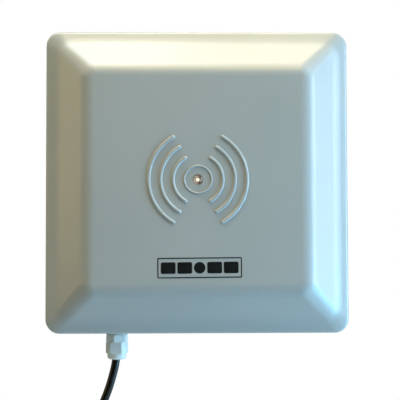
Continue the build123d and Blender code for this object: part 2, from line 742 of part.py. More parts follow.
def corner_radii(route):
    """One radius for each corner: as large as its two runs allow."""
    points = [Vector(*point) for point in route]
    radii = []
    for before, corner, after in zip(points, points[1:], points[2:]):
        first, second = corner - before, after - corner
        half_turn = math.radians(first.get_angle(second)) / 2
        radii.append(0.45 * min(first.length, second.length) / math.tan(half_turn))
    return radii


def lead_tube(name, route):
    """A round tube along straight runs joined by tangent arcs."""
    radii = corner_radii(route)
    print(name, "corner radii:", [round(radius, 1) for radius in radii])
    path = FilletPolyline(*route, radius=radii)
    section = Plane(origin=path @ 0, z_dir=path % 0) * Circle(CABLE_R)
    solid = sweep(section, path)
    share = solid.volume / (math.pi * CABLE_R**2 * path.length)
    print(name, "length", round(path.length, 1), "volume share", round(share, 4))
    return solid


def coil_frame():
    """The coil's middle: its plane's x runs right and its y runs up, and z faces the front."""
    end = LEAD_ROUTE[-1]
    middle = (end[0] + COIL_OUTER_R, end[1] + COIL_PITCH / 2, end[2])
    return Plane(origin=middle, x_dir=(1, 0, 0), z_dir=(0, -1, 0)).location


def coil_section():
    """The coil's inner and outer radius and its thickness, over the jackets."""
    inner = COIL_OUTER_R - COIL_PITCH * COIL_TURNS / 2 - CABLE_R
    return inner, COIL_OUTER_R + CABLE_R, COIL_PITCH + CABLE_DIAMETER


def cable_coil():
    """The closed outer shape of the coil."""
    inner, outer, thickness = coil_section()
    section = Plane.XZ * Pos((inner + outer) / 2, 0) * RectangleRounded(
        outer - inner, thickness, COIL_EDGE_R
    )
    return coil_frame() * revolve(section, Axis.Z)


def coil_ties():
    """Two straps round the coil, each with its locking head at the front."""
    inner, outer, thickness = coil_section()
    width = outer - inner + 2 * TIE_GAP
    depth = thickness + 2 * TIE_GAP
    band = RectangleRounded(width + 2 * TIE_THICKNESS, depth + 2 * TIE_THICKNESS, COIL_EDGE_R)
    band -= RectangleRounded(width, depth, COIL_EDGE_R - TIE_THICKNESS)
    strap = Plane.XZ * Pos((inner + outer) / 2, 0) * band
    strap = extrude(strap, TIE_WIDTH / 2, both=True)
    head = Box(*TIE_HEAD, align=STAND)
    strap += Pos((inner + outer) / 2, 0, depth / 2) * head
    frame = coil_frame()
    return [frame * Rot(0, 0, angle) * strap for angle in TIE_ANGLES]


def tail_frame():
    """The free end's cut face, with z along the lead."""
    before, end = (Vector(*point) for point in TAIL_ROUTE[-2:])
    return Plane(origin=end, z_dir=end - before).location


def core_rods(radius, low, high):
    """The stripped cores, or their bare tips, spreading from the jacket's end."""
    rods = []
    for index in range(CORE_COUNT):
        angle = 360 * index / CORE_COUNT
        spot = Rot(0, 0, angle) * Pos(CORE_CIRCLE_R, 0, 0) * Rot(0, CORE_SPREAD, 0)
        rods.append(tail_frame() * spot * post(0, 0, radius, low, high))
    return rods


def ear_pair(root_y, axis_y, upright):
    """Two ears with round ends about a pivot, level or upright, from a root plane."""
    reach = abs(root_y - axis_y)
    outline = Pos(0, (root_y + axis_y) / 2) * Rectangle(2 * EAR_R, reach)
    outline += Pos(0, axis_y) * Circle(EAR_R)
    outline -= Pos(0, axis_y) * Circle(PIVOT_BOLT_R + PIVOT_EAR_GAP)
    ears = []
    for side in (-1, 1):
        low = EAR_GAP / 2 if side > 0 else -EAR_GAP / 2 - EAR_THICKNESS
        ears.append(Pos(0, 0, low) * extrude(outline, EAR_THICKNESS))
    turn = Rot(0, 90, 0) if upright else Rot(0, 0, 0)
    return [turn * one for one in ears]


def base_sheet(size, thickness, corner_r, back_y):
    """A square sheet parallel to the wall whose rear face is at back_y."""
    sheet = extrude(RectangleRounded(size, size, corner_r), thickness)
    return Plane(origin=(0, back_y, 0), x_dir=(1, 0, 0), z_dir=(0, -1, 0)).location * sheet


def holes_along_y(places, radius, back_y, depth):
    """Round holes through a sheet that is parallel to the wall."""
    hole = Rot(90, 0, 0) * Cylinder(radius, depth + 2, align=STAND)
    return [Pos(x, back_y + 1, z) * hole for x, z in places]


def wall_base():
    """The cast base on the wall, with two level ears for the pan pivot."""
    sheet = base_sheet(WALL_BASE_SIZE, WALL_BASE_THICKNESS, WALL_BASE_CORNER_R, 0)
    front = sheet.faces().sort_by(Axis.Y)[0]
    sheet = fillet(front.edges(), CAST_EDGE_R * 2)
    for one in ear_pair(-WALL_BASE_THICKNESS, PAN_AXIS_Y, False):
        sheet += one
    roots = [
        edge
        for edge in sheet.edges().filter_by(Axis.X)
        if abs(edge.center().Y + WALL_BASE_THICKNESS) < 0.01 and abs(edge.length - 2 * EAR_R) < 0.01
    ]
    sheet = fillet(roots, EAR_ROOT_R)
    for hole in holes_along_y(four(WALL_HOLE_PITCH, WALL_HOLE_PITCH), WALL_HOLE_R, 0, WALL_BASE_THICKNESS):
        sheet -= hole
    return sheet


def panel_yoke():
    """The cast yoke on the reader's back, with two upright ears for the tilt pivot."""
    front_y = READER_BACK_Y
    back_y = READER_BACK_Y + YOKE_THICKNESS
    sheet = base_sheet(YOKE_SIZE, YOKE_THICKNESS, YOKE_CORNER_R, back_y)
    rear = sheet.faces().sort_by(Axis.Y)[-1]
    sheet = fillet(rear.edges(), CAST_EDGE_R * 2)
    for one in ear_pair(back_y, TILT_AXIS_Y, True):
        sheet += one
    roots = [
        edge
        for edge in sheet.edges().filter_by(Axis.Z)
        if abs(edge.center().Y - back_y) < 0.01 and abs(edge.length - 2 * EAR_R) < 0.01
    ]
    sheet = fillet(roots, EAR_ROOT_R)
    screw_hole = YOKE_SCREW_R + SCREW_CLEARANCE / 2
    depth = back_y - front_y
    for hole in holes_along_y(four(YOKE_HOLE_PITCH, YOKE_HOLE_PITCH), screw_hole, back_y, depth):
        sheet -= hole
    return sheet


def knuckle():
    """The block between the two pivots, rounded about each axis."""
    side = EAR_GAP - 2 * KNUCKLE_SIDE_GAP
    half = side / 2
    pan_end = Pos(0, PAN_AXIS_Y, 0) * Cylinder(half, side)
    tilt_end = Pos(0, TILT_AXIS_Y, 0) * Rot(0, 90, 0) * Cylinder(half, side)
    middle = Pos(0, (PAN_AXIS_Y + TILT_AXIS_Y) / 2, 0) * Box(side, PAN_AXIS_Y - TILT_AXIS_Y, side)
    block = pan_end + tilt_end + middle
    long_edges = block.edges().filter_by(Axis.Y)
    block = fillet(long_edges, KNUCKLE_EDGE_R)
    bore = PIVOT_BOLT_R + PIVOT_RUNNING_GAP
    block -= Pos(0, PAN_AXIS_Y, 0) * Cylinder(bore, side + 1)
    return block - Pos(0, TILT_AXIS_Y, 0) * Rot(0, 90, 0) * Cylinder(bore, side + 1)


def pivot_set():
    """A bolt, two washers and a nut on the local z axis, through a pair of ears."""
    ear_face = EAR_GAP / 2 + EAR_THICKNESS
    seat = ear_face + PIVOT_WASHER_THICKNESS
    bolt = Pos(0, 0, seat) * hexagon(PIVOT_FLATS, PIVOT_HEAD_HEIGHT)
    end = seat + PIVOT_NUT_HEIGHT + PIVOT_END
    bolt += post(0, 0, PIVOT_BOLT_R, -end, seat)
    washer_bore = PIVOT_BOLT_R + PIVOT_EAR_GAP
    washers = [
        tube(PIVOT_WASHER_R, washer_bore, low, low + PIVOT_WASHER_THICKNESS)
        for low in (ear_face, -seat)
    ]
    nut = hexagon(PIVOT_FLATS, PIVOT_NUT_HEIGHT)
    nut -= post(0, 0, PIVOT_BOLT_R + THREAD_GAP, -1, PIVOT_NUT_HEIGHT + 1)
    return bolt, washers, Pos(0, 0, -seat - PIVOT_NUT_HEIGHT) * nut


def yoke_fasteners():
    """Four screws with spring washers, from behind, into nuts clinched in the back plate."""
    washer_low = -YOKE_THICKNESS - SPRING_WASHER_THICKNESS
    nut_high = PLATE_THICKNESS + CLINCH_NUT_HEIGHT
    length = nut_high + YOKE_SCREW_END - washer_low
    screw = pan_screw(YOKE_SCREW_R, YOKE_SCREW_HEAD_R, YOKE_SCREW_HEAD_HEIGHT, length)
    washer = tube(SPRING_WASHER_R, YOKE_SCREW_R + THREAD_GAP, washer_low, -YOKE_THICKNESS)
    nut = tube(CLINCH_NUT_R, YOKE_SCREW_R + THREAD_GAP, PLATE_THICKNESS, nut_high)
    places = four(YOKE_HOLE_PITCH, YOKE_HOLE_PITCH)
    screws = [Pos(x, y, washer_low) * screw for x, y in places]
    washers = [Pos(x, y, 0) * washer for x, y in places]
    nuts = [Pos(x, y, 0) * nut for x, y in places]
    return screws, washers, nuts


def save_mount():
    """The wall mount's nodes, already in the row's frame."""
    save("wall_base", wall_base())
    save("knuckle", knuckle())
    save("panel_yoke", panel_yoke())
    bolt, washers, nut = pivot_set()
    for name, spot in (
        ("pan", Pos(0, PAN_AXIS_Y, 0)),
        ("tilt", Pos(0, TILT_AXIS_Y, 0) * Rot(0, 90, 0)),
    ):
        save(f"{name}_bolt", spot * bolt)
        save(f"{name}_washers", *[spot * washer for washer in washers])
        save(f"{name}_nut", spot * nut)


def save_reader():
    """The reader's nodes, moved from its own frame to the row's."""
    screws, washers, nuts = yoke_fasteners()
    groups = {
        "yoke_screws": screws,
        "yoke_spring_washers": washers,
        "clinch_nuts": nuts,
        "radome": [radome()],
        "front_badge": front_badge(),
        "back_plate": [back_plate()],
        "cover_gasket": [cover_gasket()],
        "cover_screws": cover_screws(),
        "rear_label": [rear_label()],
        "main_board": [main_board()],
        "board_standoffs": board_standoffs(),
        "board_screws": board_screws(),
        "shield_can": [shield_can()],
        "controller_chips": controller_chips(),
        "capacitors": capacitors(),
        "power_inductor": [power_inductor()],
        "relay": [on_board(-44, 40, RELAY_SIZE)],
        "beeper": [beeper()],
        "signal_header": [signal_header()],
        "signal_plug": [signal_plug()],
        "inner_wires": inner_wires(),
        "led_header": [led_header()],
        "led_wires": led_wires(),
        "reflector": [reflector()],
        "reflector_posts": reflector_posts(),
        "reflector_screws": reflector_screws(),
        "patch": [patch()],
        "patch_spacers": patch_spacers(),
        "patch_screws": patch_screws(),
        "feed_coax": [post(0, FEED_RISE, COAX_R, BOARD_FACE, REFLECTOR_DEPTH)],
        "feed_pin": [post(0, FEED_RISE, FEED_PIN_R, REFLECTOR_DEPTH, PATCH_FACE + FEED_PIN_PROUD)],
        "led_post": [led_post()],
        "led_board": [post(0, 0, LED_BOARD_R, LED_BOARD_BACK, LED_BOARD_FACE)],
        "status_led": [status_led()],
        "led_leads": led_leads(),
        "gland_washer": [GLAND * tube(GLAND_WASHER_R, GLAND_THREAD_R, 0, GLAND_WASHER_THICKNESS)],
        "gland_body": [GLAND * gland_body()],
        "gland_nut": [GLAND * gland_nut()],
        "gland_bush": [GLAND * gland_bush()],
        "gland_locknut": [GLAND * gland_locknut()],
        "cable_inlet": [GLAND * cable_inlet()],
    }
    for node, pieces in groups.items():
        save(node, *[READER * piece for piece in pieces])


def save_lead():
    """The hanging lead, its coil and its free end."""
    save("data_cable", lead_tube("data_cable", LEAD_ROUTE))
    save("cable_coil", cable_coil())
    save("cable_tail", lead_tube("cable_tail", TAIL_ROUTE))
    save("coil_ties", *coil_ties())
    lift = CORE_R * math.sin(math.radians(CORE_SPREAD))
    save("wire_tails", *core_rods(CORE_R, lift, CORE_BARE_LENGTH))
    save("wire_tips", *core_rods(TIP_R, CORE_BARE_LENGTH, CORE_BARE_LENGTH + TIP_LENGTH))


save_mount()
save_reader()
save_lead()
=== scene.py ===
"""Looks for a long-range tag reader panel on a pan-and-tilt wall mount, with its hanging lead."""

import logging
import math
from collections.abc import Callable
from dataclasses import dataclass
from enum import Enum

import bpy
from mathutils import Euler, Matrix, Vector


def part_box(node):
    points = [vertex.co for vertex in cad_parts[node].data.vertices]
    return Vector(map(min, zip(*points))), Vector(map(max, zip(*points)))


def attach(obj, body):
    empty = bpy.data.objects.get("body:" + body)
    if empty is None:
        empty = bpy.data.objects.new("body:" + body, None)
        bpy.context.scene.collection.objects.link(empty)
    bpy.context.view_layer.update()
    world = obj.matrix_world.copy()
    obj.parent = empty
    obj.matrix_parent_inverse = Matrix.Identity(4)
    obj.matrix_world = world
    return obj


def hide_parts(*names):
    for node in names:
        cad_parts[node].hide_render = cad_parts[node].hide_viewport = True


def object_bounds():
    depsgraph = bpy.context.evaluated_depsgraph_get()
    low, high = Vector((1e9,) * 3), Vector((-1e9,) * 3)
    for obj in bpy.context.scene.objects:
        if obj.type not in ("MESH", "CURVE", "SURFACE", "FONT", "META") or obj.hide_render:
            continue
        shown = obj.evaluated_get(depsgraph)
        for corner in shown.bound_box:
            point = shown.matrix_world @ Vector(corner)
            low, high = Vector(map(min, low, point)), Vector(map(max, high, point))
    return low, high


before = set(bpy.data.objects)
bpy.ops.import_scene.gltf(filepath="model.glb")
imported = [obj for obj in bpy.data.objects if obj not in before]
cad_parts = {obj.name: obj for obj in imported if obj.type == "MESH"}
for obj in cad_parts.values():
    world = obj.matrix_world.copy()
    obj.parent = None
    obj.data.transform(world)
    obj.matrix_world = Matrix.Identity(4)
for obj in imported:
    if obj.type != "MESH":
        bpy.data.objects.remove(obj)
CAD_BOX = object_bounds()

logging.basicConfig(level=logging.INFO, format="%(message)s")
LOG = logging.getLogger("reader_panel")

MM = 0.001
READER = "reader"
# An edge that turns less than the first is shaded smooth, and a CAD edge that turns more than
# the second is rounded.
SMOOTH_UNDER = math.radians(35)
SHARP_OVER = math.radians(40)
# Vertices nearer than this are one, in metres.
WELD_REACH = 1e-6
# How far a face's normal lies along an axis when the face is square to it.
SQUARE_ON = 0.9
# The values that a noise keeps to nearly everywhere, and how much finer the gloss's patches are.
COLOUR_SPAN = {"From Min": 0.35, "From Max": 0.65}
GLOSS_SPAN = {"From Min": 0.3, "From Max": 0.7}
GLOSS_FINER = 3


def srgb(code: str) -> tuple[float, float, float, float]:
    """Turns an sRGB hex colour into the linear colour that shaders use.

    Args:
        code: Six hex digits, such as "b9bdbc".

    Returns:
        Linear red, green and blue, and an alpha of one.
    """
    shares = [int(code[i : i + 2], 16) / 255 for i in (0, 2, 4)]
    linear = [c / 12.92 if c <= 0.04045 else ((c + 0.055) / 1.055) ** 2.4 for c in shares]
    return (*linear, 1.0)


def add_node(
    tree: bpy.types.NodeTree,
    kind: str,
    values: dict | None = None,
    links: dict | None = None,
    **settings: object,
) -> bpy.types.Node:
    """Adds a node with its settings, its socket values and its links.

    Args:
        tree: The node tree that gets the node.
        kind: The node's type, without "ShaderNode".
        values: Socket name or number to the value that is set on it.
        links: Socket name or number to the output that is linked to it.
        settings: The node's own properties.

    Returns:
        The new node.
    """
    node = tree.nodes.new("ShaderNode" + kind)
    for name, value in settings.items():
        setattr(node, name, value)
    for key, value in (values or {}).items():
        node.inputs[key].default_value = value
    for key, output in (links or {}).items():
        tree.links.new(output, node.inputs[key])
    return node


@dataclass(frozen=True)
class Finish:
    """What every finish has: its colours, its gloss and the relief that its making leaves.

    Attributes:
        name: The material's name.
        colour: Its usual colour, as sRGB hex.
        tint: The colour that it drifts towards in broad patches.
        roughness: Its usual roughness.
        swing: How far the roughness drifts up and down.
        metallic: One for bare metal.
        ior: Index of refraction.
        patch_mm: The distance between broad patches.
        grain_mm: The distance between features of the relief.
        depth_mm: The height of the relief.
        stretch: How much longer the relief's features are along each axis.
        coat: The strength of a clear skin over the colour.
    """

    name: str
    colour: str
    tint: str
    roughness: float
    swing: float = 0.05
    metallic: float = 0.0
    ior: float = 1.5
    patch_mm: float = 40.0
    grain_mm: float = 0.6
    depth_mm: float = 0.01
    stretch: tuple[float, float, float] = (1.0, 1.0, 1.0)
    coat: float = 0.0

    def build(self) -> bpy.types.Material:
        """Makes the material with its nodes.

        Returns:
            The new material.
        """
        material = bpy.data.materials.new(self.name)
        material.use_nodes = True
        tree = material.node_tree
        tree.nodes.clear()
        place = add_node(tree, "TexCoord").outputs["Object"]
        values = {"Metallic": self.metallic, "Coat Weight": self.coat}
        if not self.metallic:
            values["IOR"] = self.ior
        bump = add_node(tree, "Bump", {"Distance": self.depth_mm * MM}, {"Height": self.height(tree, place)})
        links = {
            "Base Color": self.colours(tree, place),
            "Roughness": self.gloss(tree, place),
            "Normal": bump.outputs[0],
        }
        shader = add_node(tree, "BsdfPrincipled", values, links)
        self.finish(shader)
        add_node(tree, "OutputMaterial", links={"Surface": shader.outputs[0]})
        return material

    def colours(self, tree: bpy.types.NodeTree, place: bpy.types.NodeSocket) -> bpy.types.NodeSocket:
        """Lets the colour drift in broad, faint patches.

        Args:
            tree: The material's node tree.
            place: Object coordinates, in metres.

        Returns:
            The colour's output.
        """
        patches = add_node(
            tree, "TexNoise", {"Scale": 1 / (self.patch_mm * MM), "Detail": 3.0}, {"Vector": place}
        )
        share = add_node(tree, "MapRange", COLOUR_SPAN, {"Value": patches.outputs["Fac"]})
        drift = add_node(
            tree, "Mix", {6: srgb(self.colour), 7: srgb(self.tint)}, {0: share.outputs[0]}, data_type="RGBA"
        )
        return drift.outputs[2]

    def gloss(self, tree: bpy.types.NodeTree, place: bpy.types.NodeSocket) -> bpy.types.NodeSocket:
        """Lets the roughness drift over the surface.

        Args:
            tree: The material's node tree.
            place: Object coordinates, in metres.

        Returns:
            The roughness's output.
        """
        stretched = add_node(
            tree, "Mapping", {"Scale": tuple(1 / one for one in self.stretch)}, {"Vector": place}
        )
        patches = add_node(
            tree,
            "TexNoise",
            {"Scale": GLOSS_FINER / (self.patch_mm * MM), "Detail": 4.0},
            {"Vector": stretched.outputs[0]},
        )
        spread = {"To Min": self.roughness - self.swing, "To Max": self.roughness + self.swing}
        drift = add_node(tree, "MapRange", {**GLOSS_SPAN, **spread}, {"Value": patches.outputs["Fac"]})
        return drift.outputs[0]

    def height(self, tree: bpy.types.NodeTree, place: bpy.types.NodeSocket) -> bpy.types.NodeSocket:
        """Gives the height of the relief that the making leaves.

        Args:
            tree: The material's node tree.
            place: Object coordinates, in metres.

        Returns:
            The height's output, from zero to one.
        """
        stretched = add_node(
            tree, "Mapping", {"Scale": tuple(1 / one for one in self.stretch)}, {"Vector": place}
        )
        texture = add_node(
            tree,
            "TexNoise",
            {"Scale": 1 / (self.grain_mm * MM), "Detail": 3.0},
            {"Vector": stretched.outputs[0]},
        )
        return texture.outputs["Fac"]

    def finish(self, shader: bpy.types.Node) -> None:
        """Sets on the shader what only some finishes have; nothing here."""


@dataclass(frozen=True)
class PowderCoat(Finish):
    """Baked powder paint: a low orange-peel swell with fine pits on it.

    Attributes:
        pit_finer: How much finer the pits are than the swell.
        pit_share: The pits' height as a share of the swell's.
    """

    pit_finer: float = 4.0
    pit_share: float = 0.25

    def height(self, tree: bpy.types.NodeTree, place: bpy.types.NodeSocket) -> bpy.types.NodeSocket:
        """Lays fine pits over orange peel.

        Args:
            tree: The material's node tree.
            place: Object coordinates, in metres.

        Returns:
            The height's output.
        """
        peel, pits = (
            add_node(
                tree, "TexNoise", {"Scale": finer / (self.grain_mm * MM), "Detail": 1.0}, {"Vector": place}
            )
            for finer in (1.0, self.pit_finer)
        )
        total = add_node(
            tree,
            "Math",
            {1: self.pit_share},
            {0: pits.outputs["Fac"], 2: peel.outputs["Fac"]},
            operation="MULTIPLY_ADD",
        )
        return total.outputs[0]


@dataclass(frozen=True)
class ZincPlate(Finish):
    """Bright zinc on steel: small spangles that differ a little in colour and gloss."""

    def colours(self, tree: bpy.types.NodeTree, place: bpy.types.NodeSocket) -> bpy.types.NodeSocket:
        """Gives each spangle its own share of the second colour.

        Args:
            tree: The material's node tree.
            place: Object coordinates, in metres.

        Returns:
            The colour's output.
        """
        cells = add_node(tree, "TexVoronoi", {"Scale": 1 / (self.patch_mm * MM)}, {"Vector": place})
        share = add_node(tree, "SeparateColor", links={0: cells.outputs["Color"]})
        mixed = add_node(
            tree, "Mix", {6: srgb(self.colour), 7: srgb(self.tint)}, {0: share.outputs[0]}, data_type="RGBA"
        )
        return mixed.outputs[2]


@dataclass(frozen=True)
class PaintedGlowSilver(ZincPlate):
    """Silver plate under a clear dome, with a painted glow that stands in for the room's light on it.

    Attributes:
        glow: How bright the painted glow makes it.
    """

    glow: float = 0.3

    def finish(self, shader: bpy.types.Node) -> None:
        """Adds the painted glow as emission, in the plate's own colours.

        Args:
            shader: The finish's shader.
        """
        tree = shader.id_data
        # Painted glow: the plate emits its own colours, though it is no lamp.
        tree.links.new(shader.inputs["Base Color"].links[0].from_socket, shader.inputs["Emission Color"])
        shader.inputs["Emission Strength"].default_value = self.glow


@dataclass(frozen=True)
class ClearEpoxy(Finish):
    """Cast clear epoxy: light passes through it and bends."""

    def finish(self, shader: bpy.types.Node) -> None:
        """Lets light through."""
        shader.inputs["Transmission Weight"].default_value = 1.0


@dataclass(frozen=True)
class ExtrudedPvc(Finish):
    """Soft PVC from an extruder: glossy, with a faint waviness from cooling."""

    def finish(self, shader: bpy.types.Node) -> None:
        """Gives the jacket the thin glossy skin that plasticiser leaves."""
        shader.inputs["Coat Roughness"].default_value = 0.18


@dataclass(frozen=True)
class LabelFilm(Finish):
    """Printed label film: a thin dark frame and two plain bars on silver.

    Attributes:
        margin_mm: From the label's edge to the frame.
        line_mm: The frame's line.
        bars_mm: Each bar's height above the label's middle and half its thickness.
        print_colour: The ink's colour.
    """

    margin_mm: float = 2.2
    line_mm: float = 0.35
    bars_mm: tuple[tuple[float, float], ...] = ((4.2, 2.0), (-4.6, 0.9))
    print_colour: str = "2b2d30"

    def colours(self, tree: bpy.types.NodeTree, place: bpy.types.NodeSocket) -> bpy.types.NodeSocket:
        """Prints a frame and two bars on the film's silver.

        Args:
            tree: The material's node tree.
            place: Object coordinates, in metres.

        Returns:
            The colour's output.
        """
        low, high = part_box("rear_label")
        axes = add_node(tree, "SeparateXYZ", links={0: place}).outputs
        from_middle, past_frame = [], []
        for axis in (0, 2):
            middle, half = (high[axis] + low[axis]) / 2, (high[axis] - low[axis]) / 2
            offset = add_node(tree, "Math", {1: middle}, {0: axes[axis]}, operation="SUBTRACT").outputs[0]
            size = add_node(tree, "Math", links={0: offset}, operation="ABSOLUTE").outputs[0]
            reach = add_node(tree, "Math", {1: half - self.margin_mm * MM}, {0: size}, operation="SUBTRACT")
            from_middle.append(offset)
            past_frame.append(reach.outputs[0])
        edge = add_node(tree, "Math", links={0: past_frame[0], 1: past_frame[1]}, operation="MAXIMUM")
        ink = add_node(
            tree, "Math", {1: 0.0, 2: self.line_mm * MM}, {0: edge.outputs[0]}, operation="COMPARE"
        )
        within = add_node(
            tree, "Math", {1: -self.margin_mm * MM}, {0: past_frame[0]}, operation="LESS_THAN"
        )
        for middle, reach in self.bars_mm:
            bar = add_node(
                tree, "Math", {1: middle * MM, 2: reach * MM}, {0: from_middle[1]}, operation="COMPARE"
            )
            kept = add_node(
                tree, "Math", links={0: bar.outputs[0], 1: within.outputs[0]}, operation="MULTIPLY"
            )
            ink = add_node(tree, "Math", links={0: ink.outputs[0], 1: kept.outputs[0]}, operation="MAXIMUM")
        printed = add_node(
            tree,
            "Mix",
            {7: srgb(self.print_colour)},
            {0: ink.outputs[0], 6: super().colours(tree, place)},
            data_type="RGBA",
        )
        return printed.outputs[2]


COVER_ABS = Finish(
    # Light grey ABS, moulded in a lightly spark-eroded tool: satin, with the tool's fine grain.
    # The real grain is about 0.1 mm, too fine to show, so it is drawn at 0.9 mm and shallower.
    "moulded_abs", "babebf", "b6bbbc", 0.30, 0.02, ior=1.53, patch_mm=70, grain_mm=0.9, depth_mm=0.002,
)
GLAND_NYLON = Finish(
    # Light grey nylon 6, moulded: waxier and a little glossier than the cover.
    "moulded_nylon", "eef1ef", "e8ecec", 0.34, 0.05, ior=1.53, patch_mm=12, grain_mm=0.5, depth_mm=0.006,
)
NATURAL_NYLON = Finish(
    # Undyed nylon 6.6 of cable ties and spacers: milky white, slightly warm.
    "natural_nylon", "e6e2d6", "dfdbd0", 0.38, 0.06, ior=1.53, patch_mm=8, grain_mm=0.4, depth_mm=0.005,
)
CABLE_PVC = ExtrudedPvc(
    # Black PVC jacket, extruded: glossy skin over a faint waviness along the lead.
    "extruded_pvc", "050506", "08090a", 0.34, 0.05, ior=1.53, patch_mm=20, grain_mm=1.6,
    depth_mm=0.02, coat=0.1,
)
BADGE_INK = Finish(
    # Screen-printed black ink: thin and satin, with pinholes of the mesh in its gloss.
    "printed_ink", "0a0a0b", "121213", 0.42, 0.08, patch_mm=6, grain_mm=0.3, depth_mm=0.003,
)
BRACKET_COAT = PowderCoat(
    # Polyester powder on die-cast aluminium: pale grey, satin, with orange peel.
    "powder_coat", "a9adae", "a3a8aa", 0.42, 0.05, patch_mm=30, grain_mm=1.3, depth_mm=0.03,
)
FASTENER_ZINC = ZincPlate(
    # Zinc plated steel: bluish bright metal with small spangles.
    "zinc_plate", "c3c6ca", "b4b9c0", 0.30, 0.08, metallic=1.0, patch_mm=1.2, grain_mm=0.4, depth_mm=0.006,
)
SHEET_ALUMINIUM = Finish(
    # Rolled aluminium sheet: fine lines along the rolling direction.
    "rolled_aluminium", "b9bbbd", "b1b3b6", 0.38, 0.08, metallic=1.0, patch_mm=25, grain_mm=0.25,
    depth_mm=0.004, stretch=(60.0, 1.0, 1.0),
)
TIN_PLATE = Finish(
    # Tin plated steel sheet and braid: soft and grey.
    "tin_plate", "bcbbb6", "aeada8", 0.34, 0.08, metallic=1.0, patch_mm=6, grain_mm=0.5, depth_mm=0.005,
)
BRASS_PIN = Finish(
    # Drawn brass pin with a gold flash.
    "gold_flash_brass", "d8b46a", "c9a45c", 0.25, 0.05, metallic=1.0, patch_mm=2, grain_mm=0.2,
    depth_mm=0.002,
)
LABEL_FOIL = LabelFilm(
    # Matt silver polyester label film with a screen-printed frame and two blank bars.
    "label_film", "c9cbcc", "c4c6c8", 0.45, 0.05, metallic=0.6, patch_mm=15, grain_mm=0.2, depth_mm=0.002,
)
SOFT_RUBBER = Finish(
    # Black nitrile rubber: matt, with a dry bloom.
    "nitrile_rubber", "161616", "1f1f1e", 0.75, 0.08, patch_mm=5, grain_mm=0.25, depth_mm=0.01,
)
GREY_SILICONE = Finish(
    # Light grey silicone rubber, moulded: matt and slightly dusty.
    "silicone_rubber", "c4c8c7", "bcc1c0", 0.65, 0.06, ior=1.41, patch_mm=4, grain_mm=0.4, depth_mm=0.006,
)
BOARD_MASK = Finish(
    # Green solder mask over copper and glass weave.
    "solder_mask", "0f4a26", "125a2e", 0.30, 0.06, patch_mm=4, grain_mm=0.5, depth_mm=0.01,
)
CHIP_EPOXY = Finish(
    # Black moulded epoxy with a fine matt texture.
    "moulded_epoxy", "19191a", "202021", 0.55, 0.06, patch_mm=3, grain_mm=0.15, depth_mm=0.006,
)
RELAY_CASE = Finish(
    # Blue moulded polyester case.
    "relay_polyester", "1d4f96", "1a478a", 0.32, 0.05, patch_mm=8, grain_mm=0.4, depth_mm=0.004,
)
LED_EPOXY = ClearEpoxy(
    # Water-clear cast epoxy.
    "clear_epoxy", "f4f5f2", "eef0ee", 0.05, 0.02, ior=1.54, patch_mm=3, grain_mm=1.5, depth_mm=0.002,
)
TINNED_STRANDS = Finish(
    # Fine copper strands dipped in solder: grey and a little lumpy along the twist.
    "tinned_strands", "b9b9b4", "a5a49f", 0.28, 0.08, metallic=1.0, patch_mm=1.5, grain_mm=0.25,
    depth_mm=0.03, stretch=(1.0, 1.0, 2.5),
)
FLOOR_ACRYLIC = Finish(
    # Opal acrylic sheet: even, pale and slightly blue.
    "opal_acrylic", "c5d0d7", "c2cdd4", 0.8, patch_mm=900, grain_mm=40, depth_mm=0.05,
)
LEAD_FRAME = PaintedGlowSilver(
    # Silver plate on a stamped lead frame, drifting in small patches from near-white to dark brown:
    # painted light and shade for the stamping's flats and folds, with a painted glow.
    "silvered_frame", "f8f0e2", "86705f", 0.30, 0.06, metallic=0.6, patch_mm=1.1, grain_mm=0.3,
    depth_mm=0.004,
)
CUP_SILVER = PaintedGlowSilver(
    # The reflector cup: the same silver plate, polished and without the dark patches, with a stronger
    # painted glow.
    "polished_cup", "fffbee", "fff0d4", 0.18, 0.04, metallic=0.6, patch_mm=2, grain_mm=0.3, depth_mm=0.002,
    glow=0.8,
)


class CoreColour(Enum):
    """The cores' colours, each with the tint that it drifts towards."""

    RED = ("a3241c", "93201a")
    BLACK = ("141415", "1b1b1c")
    WHITE = ("e4e2dc", "dad8d1")
    GREEN = ("1f7a3c", "1b6e36")
    YELLOW = ("d8b21e", "c9a41c")
    BLUE = ("1f4fa0", "1c4690")


def core_finish(name: str, colour: str, tint: str) -> Finish:
    """Gives one core's thin PVC insulation its own colour."""
    return Finish(f"core_pvc_{name}", colour, tint, 0.35, 0.05, patch_mm=4, grain_mm=0.4, depth_mm=0.004)


NODE_FINISHES: dict[Finish, tuple[str, ...]] = {
    COVER_ABS: ("radome",),
    BADGE_INK: ("front_badge",),
    GLAND_NYLON: ("gland_body", "gland_nut", "gland_locknut"),
    NATURAL_NYLON: (
        "patch_spacers", "patch_screws", "led_post", "signal_header", "signal_plug", "led_header",
        "coil_ties",
    ),
    CABLE_PVC: ("cable_inlet", "data_cable", "cable_coil", "cable_tail"),
    BRACKET_COAT: ("wall_base", "knuckle", "panel_yoke"),
    FASTENER_ZINC: (
        "pan_bolt", "pan_washers", "pan_nut", "tilt_bolt", "tilt_washers", "tilt_nut", "yoke_screws",
        "yoke_spring_washers", "clinch_nuts", "cover_screws", "board_standoffs", "board_screws",
        "reflector_posts", "reflector_screws",
    ),
    SHEET_ALUMINIUM: ("back_plate", "reflector", "patch"),
    TIN_PLATE: ("shield_can", "feed_coax", "led_leads", "wire_tips"),
    BRASS_PIN: ("feed_pin",),
    LABEL_FOIL: ("rear_label",),
    SOFT_RUBBER: ("cover_gasket", "gland_bush"),
    GREY_SILICONE: ("gland_washer",),
    BOARD_MASK: ("main_board", "led_board"),
    CHIP_EPOXY: ("controller_chips", "capacitors", "power_inductor", "beeper"),
    RELAY_CASE: ("relay",),
    LED_EPOXY: ("status_led",),
    core_finish("inner", "9c2a22", "8f241d"): ("inner_wires", "led_wires", "wire_tails"),
}


